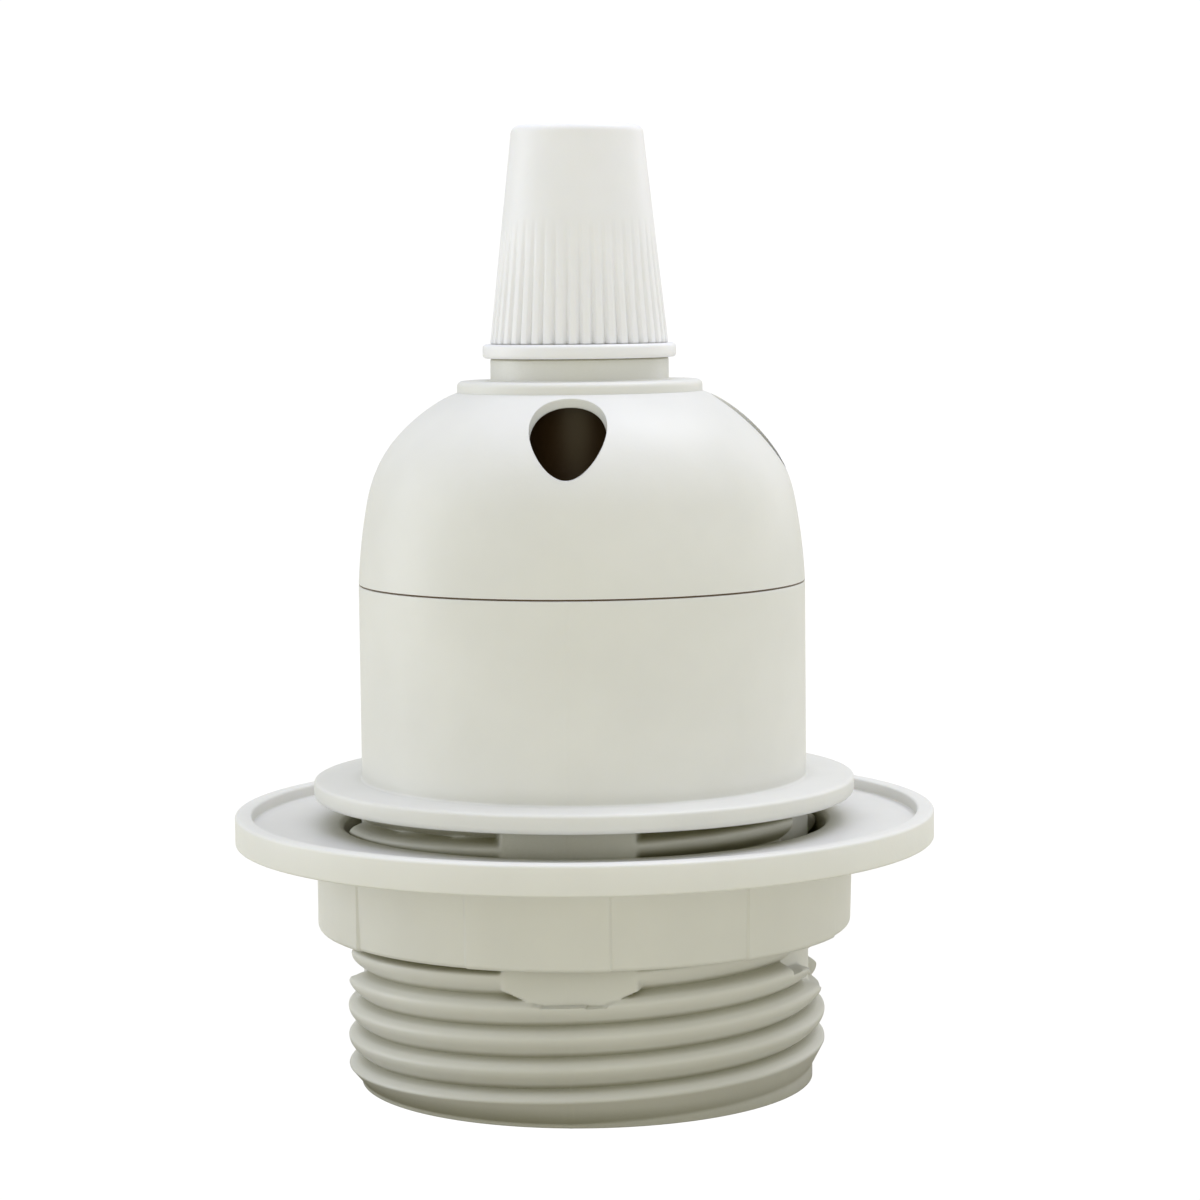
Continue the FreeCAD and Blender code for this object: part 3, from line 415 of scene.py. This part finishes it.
def vent_tree():
    """Drills upright round holes, evenly set on a circle, through what it is given."""
    tree = bpy.data.node_groups.new("dome_vents", "GeometryNodeTree")
    tree.interface.new_socket("Dome", in_out="INPUT", socket_type="NodeSocketGeometry")
    for name, kind in (("Vents", "Int"), ("Circle", "Float"), ("Vent radius", "Float"),
                       ("Drill length", "Float"), ("Drill height", "Float"), ("Plastic", "Material")):
        tree.interface.new_socket(name, in_out="INPUT", socket_type="NodeSocket" + kind)
    tree.interface.new_socket("Drilled dome", in_out="OUTPUT", socket_type="NodeSocketGeometry")
    add, link = tree.nodes.new, tree.links.new
    given, result = add("NodeGroupInput"), add("NodeGroupOutput")
    circle = add("GeometryNodeMeshCircle")
    link(given.outputs["Vents"], circle.inputs["Vertices"])
    link(given.outputs["Circle"], circle.inputs["Radius"])
    drill = add("GeometryNodeMeshCylinder")
    drill.inputs["Vertices"].default_value = 96
    link(given.outputs["Vent radius"], drill.inputs["Radius"])
    link(given.outputs["Drill length"], drill.inputs["Depth"])
    placed = add("GeometryNodeInstanceOnPoints")
    link(circle.outputs["Mesh"], placed.inputs["Points"])
    link(drill.outputs["Mesh"], placed.inputs["Instance"])
    height = add("ShaderNodeCombineXYZ")
    link(given.outputs["Drill height"], height.inputs["Z"])
    lifted = add("GeometryNodeTransform")
    link(placed.outputs["Instances"], lifted.inputs["Geometry"])
    link(height.outputs["Vector"], lifted.inputs["Translation"])
    drills = add("GeometryNodeRealizeInstances")
    link(lifted.outputs["Geometry"], drills.inputs["Geometry"])
    cut = add("GeometryNodeMeshBoolean")
    cut.operation = "DIFFERENCE"
    cut.solver = "EXACT"
    link(given.outputs["Dome"], cut.inputs["Mesh 1"])
    link(drills.outputs["Geometry"], cut.inputs["Mesh 2"])
    whole = add("GeometryNodeRealizeInstances")
    link(cut.outputs["Mesh"], whole.inputs["Geometry"])
    dressed = add("GeometryNodeSetMaterial")
    link(whole.outputs["Geometry"], dressed.inputs["Geometry"])
    link(given.outputs["Plastic"], dressed.inputs["Material"])
    link(dressed.outputs["Geometry"], result.inputs["Drilled dome"])
    return tree


dome_outline = np.concatenate((
    between((SPIGOT_RADIUS, SPIGOT_FOOT), (SPIGOT_RADIUS, RIM_HEIGHT), 1.0),
    rounded([(SPIGOT_RADIUS, RIM_HEIGHT, 0), (BARREL_RADIUS, RIM_HEIGHT, 0.12),
             (*FLANK_FOOT, 0)])[1:-1],
    arc(FLANK_CENTRE, FLANK_RADIUS, FLANK_FROM, FLANK_TO, 16),
    arc(SHOULDER_CENTRE, SHOULDER_RADIUS, FLANK_TO, SHOULDER_TO, 40)[1:],
    rounded([(COLLAR_RADIUS, COLLAR_BASE, 0), (COLLAR_RADIUS, COLLAR_TOP, 0.45),
             (NECK_RADIUS, COLLAR_TOP, 0.15), (NECK_RADIUS, NECK_TOP, 0.2),
             (NECK_BORE, NECK_TOP, 0.2), (NECK_BORE, 58.0, 0)])[1:-1],
    between((NECK_BORE, 59.0), (NECK_BORE, BOSS_FOOT), 1.0),
    between((NECK_RADIUS, BOSS_FOOT), (NECK_RADIUS, 57.2), 1.0),
    arc(CEILING_CENTRE, CEILING_RADIUS, CEILING_FROM, 0, 24),
    between(CEILING_FOOT, (SPIGOT_BORE, SPIGOT_SHOULDER), 0.5),
    between((SPIGOT_BORE, 42.5), (SPIGOT_BORE, SPIGOT_FOOT), 1.5),
))
dome = turned_mesh("dome_surface", dome_outline, 288)
dome_plastic = plastic("dome_plastic", MOULDED_WHITE, (0.34, 0.31, 0.18))
vent_sizes = {"Vents": VENT_COUNT, "Circle": VENT_CIRCLE * MM, "Vent radius": VENT_RADIUS * MM,
              "Drill length": DRILL_LENGTH * MM, "Drill height": DRILL_HEIGHT * MM,
              "Plastic": dome_plastic}
vents = dome.modifiers.new("vents", "NODES")
vents.node_group = vent_tree()
for socket in vents.node_group.interface.items_tree:
    if socket.name in vent_sizes:
        vents[socket.identifier] = vent_sizes[socket.name]
drilled = dome.evaluated_get(bpy.context.evaluated_depsgraph_get())
drilled_mesh = bpy.data.meshes.new_from_object(drilled)
dome.modifiers.clear()
dome.data = drilled_mesh
dome.data.shade_smooth()
dome.data.set_sharp_from_angle(angle=math.radians(30))
vent_places = [(VENT_CIRCLE * MM * math.sin(a), -VENT_CIRCLE * MM * math.cos(a))
               for a in np.radians(np.arange(VENT_COUNT) * 360 / VENT_COUNT)]
# Painted shade: faces inside the dome and round the neck's bore are marked for the near-black brown that
# stands in for shade, all but the vents' own walls.
painted_dark_inside = dome.data.attributes.new("painted_dark_inside", "FLOAT", "FACE")
for face in dome.data.polygons:
    x, y, z = face.center / MM
    out = Vector((x, y, 0)).normalized()
    from_vent = min(math.dist(face.center[:2], place) for place in vent_places) / MM
    vent_wall = abs(from_vent - VENT_RADIUS) <= 0.1
    ceiling = z < COLLAR_BASE + 0.6 and face.normal.z < -0.05
    hidden = z < RIM_HEIGHT - 0.1 or face.normal @ out < -0.05 or ceiling
    boss = math.hypot(x, y) < NECK_RADIUS + 0.13 and z < COLLAR_TOP - 0.3
    painted_dark_inside.data[face.index].value = float((hidden and not vent_wall) or boss)
dress_nodes("dome_plastic", dome_plastic)
dress(dome, "cover", dome_plastic, "dome")


# Cord grip
# A foot disc on the dome's neck carries a threaded tube, and a tapered cap screws on it and
# presses the split bush on the cord. All three are moulded in a cooler, brighter white. Fine
# upright ribs run up the cap's lower half and fade into its cone.
FOOT_RADIUS, FOOT_TOP, TUBE_BORE = 8.0, 61.3, 3.4
SPIGOT_THREAD, SPIGOT_END, TUBE_THREAD, TUBE_TOP = 4.95, 53.2, 5.0, 71.0
GRIP_PITCH, GRIP_THREAD_DEPTH, GRIP_THREAD_FADE = 1.0, 0.5, 0.5
SPIGOT_THREADED, TUBE_THREADED = (53.3, 59.6), (61.8, 70.9)
CAP_FOOT_RADIUS, CAP_SLOPE, CAP_TOP, CAP_BORE = 7.36, 0.1103, 79.2, 5.08
CAP_THREAD_DEPTH, CAP_THREAD_FROM, CAP_THREAD_TO = 0.45, 62.1, 72.0
RIB_COUNT, RIB_TOP, RIB_DEPTH, GROOVE_HALF_SHARE = 42, 71.6, 0.34, 0.3


def thread_cut(azimuth, z, depth):
    """How deep the grip's right-handed thread, with rounded crests, cuts at each place."""
    along = (z / GRIP_PITCH - azimuth / 360) % 1
    return depth * np.clip(1.15 * np.abs(2 * along - 1), 0, 1) ** 1.2


def stem_threads(azimuth, r, z):
    """Cuts the thread on the spigot below the foot disc and on the tube above it."""
    fading = np.zeros_like(z)
    for low, high in (SPIGOT_THREADED, TUBE_THREADED):
        fading += np.clip(np.minimum(z - low, high - z) / GRIP_THREAD_FADE, 0, 1)
    threaded = (r > SPIGOT_THREAD - 0.02) & (r < TUBE_THREAD + 0.01)
    return np.where(threaded, r - thread_cut(azimuth, z, GRIP_THREAD_DEPTH) * fading, r)


stem_outline = np.concatenate((
    rounded([(TUBE_BORE, 54.0, 0), (TUBE_BORE, SPIGOT_END, 0.2), (SPIGOT_THREAD, SPIGOT_END, 0.3),
             (SPIGOT_THREAD, 54.0, 0)])[1:-1],
    between((SPIGOT_THREAD, 53.6), (SPIGOT_THREAD, 60.1), 0.14),
    rounded([(SPIGOT_THREAD, NECK_TOP, 0), (FOOT_RADIUS, NECK_TOP, 0.3), (FOOT_RADIUS, FOOT_TOP, 0.3),
             (TUBE_THREAD, FOOT_TOP, 0)]),
    between((TUBE_THREAD, 61.44), (TUBE_THREAD, 70.7), 0.14),
    rounded([(TUBE_THREAD, 70.7, 0), (TUBE_THREAD, TUBE_TOP, 0.2), (4.3, TUBE_TOP, 0.1),
             (TUBE_BORE, 70.1, 0)])[1:],
    between((TUBE_BORE, 69.0), (TUBE_BORE, 54.5), 3.0),
))
grip_stem = turned_mesh("grip_stem_surface", stem_outline, 192, stem_threads)
grip_plastic = plastic("grip_plastic", (0.865, 0.865, 0.895), (0.58, 0.58, 0.57), reach=0.0012)
dress_nodes("grip_plastic", grip_plastic)
dress(grip_stem, "cover", grip_plastic, "grip_stem")


def cap_ribs(azimuth, r, z):
    """Narrow grooves between rounded ribs, deepest at the cap's foot, and the thread in its bore."""
    place = (azimuth / 360 * RIB_COUNT) % 1
    groove = np.clip(1 - np.abs(place - 0.5) / GROOVE_HALF_SHARE, 0, 1)
    groove = groove * groove * (3 - 2 * groove)
    fading = np.clip((RIB_TOP - z) / (RIB_TOP - FOOT_TOP), 0, 1) ** 0.8
    cone = CAP_FOOT_RADIUS - CAP_SLOPE * (z - FOOT_TOP)
    on_cone = (r > cone - 0.35) & (z < RIB_TOP)
    tapped = (abs(r - CAP_BORE) < 0.01) & (z > CAP_THREAD_FROM) & (z < CAP_THREAD_TO)
    thread = r - CAP_THREAD_DEPTH + thread_cut(azimuth, z, CAP_THREAD_DEPTH)
    return np.where(on_cone, r - RIB_DEPTH * groove * fading, np.where(tapped, thread, r))


cap_outline = np.concatenate((
    rounded([(CAP_BORE, 62.0, 0), (CAP_BORE, FOOT_TOP, 0.2), (CAP_FOOT_RADIUS, FOOT_TOP, 0.15),
             (7.25, 62.3, 0)])[1:-1],
    between((7.327, 61.6), (6.22, 71.64), 0.25),
    between((6.19, 71.9), (5.48, 78.3), 0.8),
    arc((4.72, 78.45), 0.75, 6, 90, 10),
    rounded([(4.5, CAP_TOP, 0), (TUBE_BORE, CAP_TOP, 0.5), (TUBE_BORE, 77.5, 0)])[1:-1],
    between((TUBE_BORE, 78.0), (TUBE_BORE, 76.6), 0.7),
    between((CAP_BORE, 72.1), (CAP_BORE, 62.0), 0.2),
))
grip_cap = turned_mesh("grip_cap_surface", cap_outline, 504, cap_ribs)
dress(grip_cap, "cap", grip_plastic, "grip_cap")


# Screw shell
# Thin brass tube with the rolled E27 thread, 7 turns to the inch. It is necked in at its upper
# end, where three tabs are turned in under the insulating block and forked round their rivets.
TUBE_OUTSIDE, TUBE_INSIDE, TUBE_FOOT, TUBE_BEND = 13.65, 13.3, 3.2, 24.0
NECK_OUTSIDE, NECK_INSIDE = 12.95, 12.6
LAMP_PITCH, LAMP_THREAD_DEPTH = 3.629, 1.0
TAB_HALF_WIDTH, TAB_ROOT, TAB_END, TAB_BASE, TAB_TOP = 2.5, 12.7, 9.25, 28.0, 28.5
FORK_RADIUS, FORK_MIDDLE, FORK_SWEEP = 1.3, 10.4, 152


def rolled_metal_group():
    """The skin of rolled metal: faint drawing marks in its colour, roughness and normal."""
    group = bpy.data.node_groups.new("rolled_metal", "ShaderNodeTree")
    for name, kind in (("Colour", "Color"), ("Marked colour", "Color"), ("Roughness", "Float"),
                       ("Marks", "Float")):
        group.interface.new_socket(name, in_out="INPUT", socket_type="NodeSocket" + kind)
    for name, kind in (("Colour", "Color"), ("Roughness", "Float"), ("Normal", "Vector")):
        group.interface.new_socket(name, in_out="OUTPUT", socket_type="NodeSocket" + kind)
    add, link = group.nodes.new, group.links.new
    given, result = add("NodeGroupInput"), add("NodeGroupOutput")
    place, marks = add("ShaderNodeTexCoord"), add("ShaderNodeTexNoise")
    marks.inputs["Detail"].default_value = 5
    link(place.outputs["Object"], marks.inputs["Vector"])
    link(given.outputs["Marks"], marks.inputs["Scale"])
    colour = add("ShaderNodeMix")
    colour.data_type = "RGBA"
    link(marks.outputs["Fac"], colour.inputs["Factor"])
    link(given.outputs["Colour"], colour.inputs["A"])
    link(given.outputs["Marked colour"], colour.inputs["B"])
    link(colour.outputs["Result"], result.inputs["Colour"])
    change, rough = add("ShaderNodeMapRange"), add("ShaderNodeMath")
    change.inputs["To Min"].default_value = -0.08
    change.inputs["To Max"].default_value = 0.1
    link(marks.outputs["Fac"], change.inputs["Value"])
    link(given.outputs["Roughness"], rough.inputs[0])
    link(change.outputs["Result"], rough.inputs[1])
    link(rough.outputs["Value"], result.inputs["Roughness"])
    edge, bump = add("ShaderNodeBevel"), add("ShaderNodeBump")
    edge.samples = 6
    edge.inputs["Radius"].default_value = 0.0001
    bump.inputs["Strength"].default_value = 0.2
    bump.inputs["Distance"].default_value = 0.00004
    link(marks.outputs["Fac"], bump.inputs["Height"])
    link(edge.outputs["Normal"], bump.inputs["Normal"])
    link(bump.outputs["Normal"], result.inputs["Normal"])
    return group


rolled_metal = rolled_metal_group()


def metal(name, colour, roughness, marks):
    """A rolled or drawn metal with its own colour, roughness and fineness of marks."""
    material = bpy.data.materials.new(name)
    material.use_nodes = True
    tree = material.node_tree
    surface = tree.nodes["Principled BSDF"]
    surface.inputs["Metallic"].default_value = 1.0
    skin = tree.nodes.new("ShaderNodeGroup")
    skin.node_tree = rolled_metal
    skin.inputs["Colour"].default_value = (*colour, 1)
    skin.inputs["Marked colour"].default_value = (*[0.72 * c for c in colour], 1)
    skin.inputs["Roughness"].default_value = roughness
    skin.inputs["Marks"].default_value = marks
    for output, entry in (("Colour", "Base Color"), ("Roughness", "Roughness"), ("Normal", "Normal")):
        tree.links.new(skin.outputs[output], surface.inputs[entry])
    return material


def rolled_thread(azimuth, r, z):
    """Waves the tube's wall in and out as the lamp's thread, and leaves both ends plain."""
    strength = np.clip(np.minimum(z - 3.5, TUBE_BEND - z) / 0.9, 0, 1)
    wave = np.cos(2 * np.pi * (z / LAMP_PITCH - azimuth / 360)) - 1
    return np.where(r > 13.2, r + 0.5 * LAMP_THREAD_DEPTH * wave * strength, r)


tube_outline = np.concatenate((
    between((TUBE_OUTSIDE, TUBE_FOOT), (TUBE_OUTSIDE, 24.4), 0.26),
    rounded([(TUBE_OUTSIDE, TUBE_BEND, 0), (TUBE_OUTSIDE, 24.45, 0.3), (NECK_OUTSIDE, 25.1, 0.3),
             (NECK_OUTSIDE, TAB_TOP, 0), (NECK_INSIDE, TAB_TOP, 0), (NECK_INSIDE, 25.1, 0.3),
             (TUBE_INSIDE, 24.4, 0.3), (TUBE_INSIDE, TUBE_BEND, 0)])[1:-1],
    between((TUBE_INSIDE, 24.1), (TUBE_INSIDE, TUBE_FOOT), 0.26),
))
screw_shell = turned_mesh("screw_shell_surface", tube_outline, 168, rolled_thread)
fork_angles = np.radians(np.linspace(-FORK_SWEEP, FORK_SWEEP, 25))
fork = [(-TAB_HALF_WIDTH, TAB_ROOT), (-TAB_HALF_WIDTH, TAB_END)]
fork += [(FORK_RADIUS * math.sin(a), FORK_MIDDLE + FORK_RADIUS * math.cos(a)) for a in fork_angles]
fork += [(TAB_HALF_WIDTH, TAB_END), (TAB_HALF_WIDTH, TAB_ROOT)]
count = len(fork)
corners, faces = [], []
for turn in (0, 90, 180):
    first = len(corners)
    away = Matrix.Rotation(math.radians(turn), 3, "Z")
    for z in (TAB_BASE, TAB_TOP):
        corners += [tuple(away @ Vector((x, y, z)) * MM) for x, y in fork]
    faces.append([first + k for k in range(count)])
    faces.append([first + count + k for k in reversed(range(count))])
    for k in range(count):
        beside = (k + 1) % count
        faces.append([first + k, first + count + k, first + count + beside, first + beside])
tab_mesh = bpy.data.meshes.new("tabs")
tab_mesh.from_pydata(corners, [], faces)
tabs = bpy.data.objects.new("tabs", tab_mesh)
scene.collection.objects.link(tabs)
with bpy.context.temp_override(active_object=screw_shell, selected_editable_objects=[screw_shell, tabs]):
    bpy.ops.object.join()
shell_brass = metal("shell_brass", (0.72, 0.52, 0.22), 0.3, 700)
dress_nodes("shell_brass", shell_brass)
dress(screw_shell, "socket", shell_brass, "screw_shell")


# Insulating block, contact and terminals
# A warm matt moulding carries all the metal: a browner bronze leaf for the lamp's centre
# contact, brass terminals and rivets, and dull zinc-plated clamp plates and screws. These keep
# the shapes of their CAD nodes.
block_plastic = plastic("block_plastic", (0.62, 0.60, 0.52), (0.30, 0.28, 0.2), roughness=0.55)
contact_bronze = metal("contact_bronze", (0.62, 0.38, 0.2), 0.32, 900)
terminal_brass = metal("terminal_brass", (0.74, 0.56, 0.26), 0.34, 900)
plated_steel = metal("plated_steel", (0.58, 0.58, 0.56), 0.3, 1100)
dress_nodes("block_plastic", block_plastic)
dress_nodes("contact_bronze", contact_bronze)
dress_nodes("terminal_brass", terminal_brass)
dress_nodes("plated_steel", plated_steel)


# The room
# A white sweep seen by the camera as plain white, a broad light overhead, one low at the left,
# one high at the right, and weak ones low in front and behind at the right. The camera stands
# 276 mm away, a little above the grip's foot disc, and looks slightly down. Sizes are in metres.
SEEN_WHITE = 1.05
CAMERA_PLACE, CAMERA_LENS, SENSOR_WIDTH = (0.01929, -0.27532, 0.0653), 99.93, 36.0
CAMERA_HEADING, CAMERA_PITCH, CAMERA_ROLL = 3.7, -5.24, -0.62


def seen_or_lighting(tree, lighting, seen):
    """Shows the camera one shader and every other ray the other one."""
    path = tree.nodes.new("ShaderNodeLightPath")
    choice = tree.nodes.new("ShaderNodeMixShader")
    tree.links.new(path.outputs["Is Camera Ray"], choice.inputs["Fac"])
    tree.links.new(lighting, choice.inputs[1])
    tree.links.new(seen, choice.inputs[2])
    return choice.outputs["Shader"]


def sweep_material():
    """White paper, its colour darkened right under the lampholder as a painted shadow, so less light
    comes back from there.
    """
    material = bpy.data.materials.new("floor_white")
    material.use_nodes = True
    tree = material.node_tree
    tree.nodes.clear()
    add, link = tree.nodes.new, tree.links.new
    place, away = add("ShaderNodeTexCoord"), add("ShaderNodeVectorMath")
    away.operation = "LENGTH"
    link(place.outputs["Object"], away.inputs[0])
    painted_shadow_fade = add("ShaderNodeMapRange")
    painted_shadow_fade.interpolation_type = "SMOOTHSTEP"
    painted_shadow_fade.inputs["From Min"].default_value = 0.02
    painted_shadow_fade.inputs["From Max"].default_value = 0.06
    link(away.outputs["Value"], painted_shadow_fade.inputs["Value"])
    # Painted shadow: dark khaki near the lampholder, fading to pale paper from 20 to 60 mm out.
    colour = add("ShaderNodeMix")
    colour.data_type = "RGBA"
    colour.inputs["A"].default_value = (0.32, 0.3, 0.22, 1)
    colour.inputs["B"].default_value = (0.8, 0.78, 0.66, 1)
    link(painted_shadow_fade.outputs["Result"], colour.inputs["Factor"])
    paper, white = add("ShaderNodeBsdfDiffuse"), add("ShaderNodeEmission")
    white.inputs["Strength"].default_value = SEEN_WHITE
    link(colour.outputs["Result"], paper.inputs["Color"])
    out = add("ShaderNodeOutputMaterial")
    seen = seen_or_lighting(tree, paper.outputs["BSDF"], white.outputs["Emission"])
    link(seen, out.inputs["Surface"])
    return material


def white_room():
    """A slightly warm white world, seen as plain white."""
    world = bpy.data.worlds.new("white_room")
    world.use_nodes = True
    tree = world.node_tree
    tree.nodes.clear()
    walls, sky = tree.nodes.new("ShaderNodeBackground"), tree.nodes.new("ShaderNodeBackground")
    walls.inputs["Color"].default_value = (0.995, 1.0, 0.905, 1)
    walls.inputs["Strength"].default_value = 0.66
    sky.inputs["Color"].default_value = (1, 1, 1, 1)
    sky.inputs["Strength"].default_value = SEEN_WHITE
    out = tree.nodes.new("ShaderNodeOutputWorld")
    seen = seen_or_lighting(tree, walls.outputs["Background"], sky.outputs["Background"])
    tree.links.new(seen, out.inputs["Surface"])
    return world


def softbox(name, place, aim_height, side, power, colour):
    """A square area light that faces a point on the lampholder's axis."""
    light = bpy.data.lights.new(name, "AREA")
    light.shape = "RECTANGLE"
    light.size, light.size_y = side, side
    light.energy = power
    light.color = colour
    lamp = bpy.data.objects.new(name, light)
    lamp.location = place
    lamp.rotation_mode = "QUATERNION"
    lamp.rotation_quaternion = (Vector((0, 0, aim_height)) - Vector(place)).to_track_quat("-Z", "Y")
    scene.collection.objects.link(lamp)


bpy.ops.mesh.primitive_plane_add(size=4)
floor = bpy.context.object
floor.name = "floor"
floor.data.materials.append(sweep_material())
scene.world = white_room()
softbox("overhead", (0.0, -0.05, 0.5), 0.04, 0.5, 1.2, (0.72, 0.74, 1.0))
softbox("left", (-0.45, 0.05, 0.09), 0.04, 0.3, 0.6, (0.86, 0.9, 1.0))
softbox("right", (0.24, 0.08, 0.5), 0.06, 0.25, 0.72, (0.92, 0.93, 1.0))
softbox("front", (0.0, -0.55, 0.03), 0.04, 0.3, 0.2, (1.0, 0.93, 0.25))
softbox("behind", (0.4, 0.4, 0.2), 0.05, 0.3, 0.26, (0.92, 0.9, 1.0))

camera = bpy.data.objects.new("camera", bpy.data.cameras.new("camera"))
scene.collection.objects.link(camera)
scene.camera = camera
camera.data.lens = CAMERA_LENS
camera.data.sensor_width = SENSOR_WIDTH
camera.data.clip_start = 0.01
camera.location = CAMERA_PLACE
camera.rotation_mode = "QUATERNION"
aimed = Matrix.Rotation(math.radians(CAMERA_HEADING), 4, "Z")
aimed = aimed @ Matrix.Rotation(math.pi / 2 + math.radians(CAMERA_PITCH), 4, "X")
camera.rotation_quaternion = (aimed @ Matrix.Rotation(math.radians(CAMERA_ROLL), 4, "Z")).to_quaternion()
